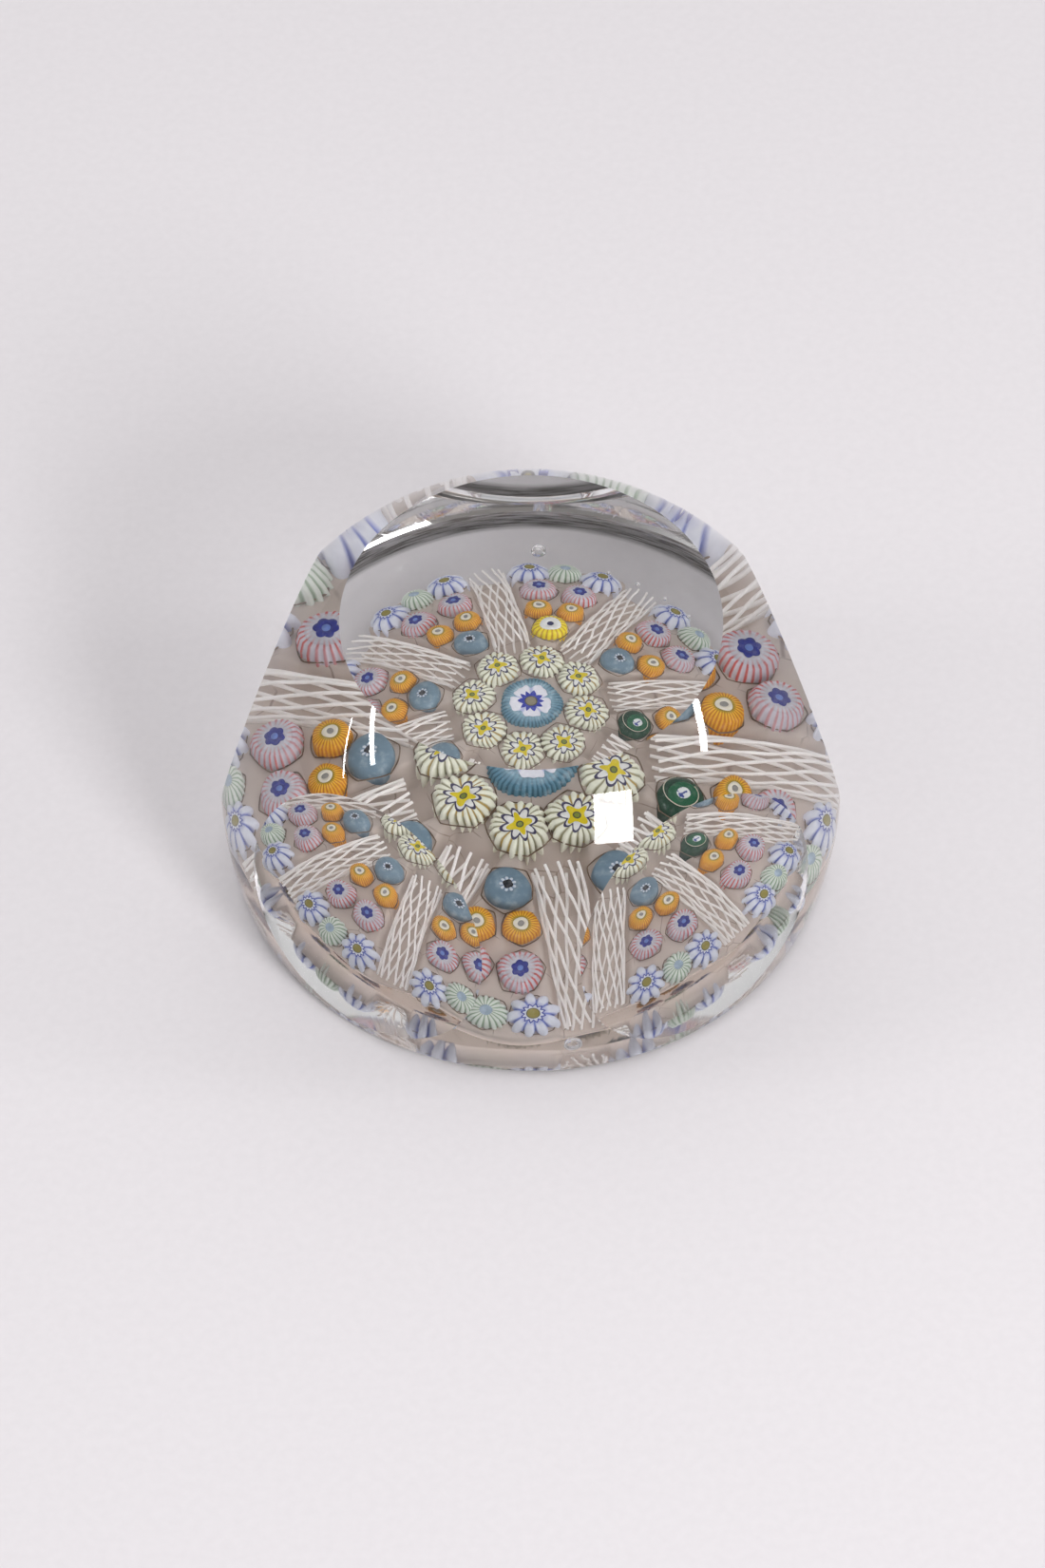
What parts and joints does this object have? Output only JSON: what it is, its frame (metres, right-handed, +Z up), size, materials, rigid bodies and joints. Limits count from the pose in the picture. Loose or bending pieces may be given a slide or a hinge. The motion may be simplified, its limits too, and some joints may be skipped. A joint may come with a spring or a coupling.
{
  "type": "glass paperweight",
  "caption": "Faceted clear glass paperweight holding a domed set-up of patterned glass canes in panels between twisted lattice rods.",
  "frame": {"origin": "centre of the flat base", "axes": "+Z up along the ball axis, through the top facet; -Y is the front, between two side facets"},
  "size_m": [0.0718, 0.071, 0.0393],
  "materials": {
    "clear_crystal": "polished clear lead crystal",
    "clear_casing": "clear glass round a cane, seen only by its faint seams",
    "teal_glass": "translucent teal glass with fine lengthwise streaks",
    "opal_white_glass": "opaque white glass",
    "royal_blue_glass": "opaque royal blue glass",
    "taupe_glass": "smoky grey-brown glass",
    "cream_glass": "opaque cream glass, ochre in the grooves",
    "plum_line_glass": "dark plum outline glass",
    "yellow_glass": "opaque bright yellow glass",
    "slate_glass": "slate blue glass, slightly cloudy",
    "black_glass": "near-black core glass",
    "green_glass": "deep bottle green glass",
    "emerald_glass": "brighter green glass",
    "amber_glass": "amber orange glass with fine ribs",
    "grey_glass": "grey core glass",
    "red_glass": "red ribs fading to pink",
    "lilac_glass": "greyish lilac glass",
    "navy_glass": "deep navy glass",
    "pale_blue_glass": "pale blue core glass",
    "petal_glass": "white petals tinted lilac blue",
    "olive_glass": "olive yellow core glass",
    "mint_glass": "pale mint and white ribs",
    "lattice_glass": "clear rod with twisted opaque white threads"
  },
  "bodies": {
    "root": {"clear_dome": "clear_crystal", "ground_gather": "clear_crystal", "centre_casing": "teal_glass", "centre_white_cog": "opal_white_glass", "centre_blue_cog": "royal_blue_glass", "centre_core": "taupe_glass", "ring_casings": "clear_casing", "ring_ribs": "cream_glass", "ring_outlines": "plum_line_glass", "ring_stars": "opal_white_glass", "ring_hearts": "yellow_glass", "slate_bodies": "slate_glass", "slate_rings": "pale_blue_glass", "slate_cores": "black_glass", "yellow_body": "yellow_glass", "yellow_disc": "opal_white_glass", "yellow_dot": "navy_glass", "green_body": "green_glass", "green_cap": "emerald_glass", "green_core": "opal_white_glass", "orange_bodies": "amber_glass", "orange_rings": "opal_white_glass", "orange_cores": "grey_glass", "pink_casings": "clear_casing", "pink_ribs": "red_glass", "pink_bodies": "lilac_glass", "pink_cogs": "navy_glass", "pink_cores": "pale_blue_glass", "flower_casings": "clear_casing", "flower_petals": "petal_glass", "flower_outlines": "royal_blue_glass", "flower_cores": "olive_glass", "pale_casings": "clear_casing", "pale_ribs": "mint_glass", "pale_cores": "pale_blue_glass", "lattice_rods": "lattice_glass"}
  },
  "joints": []
}
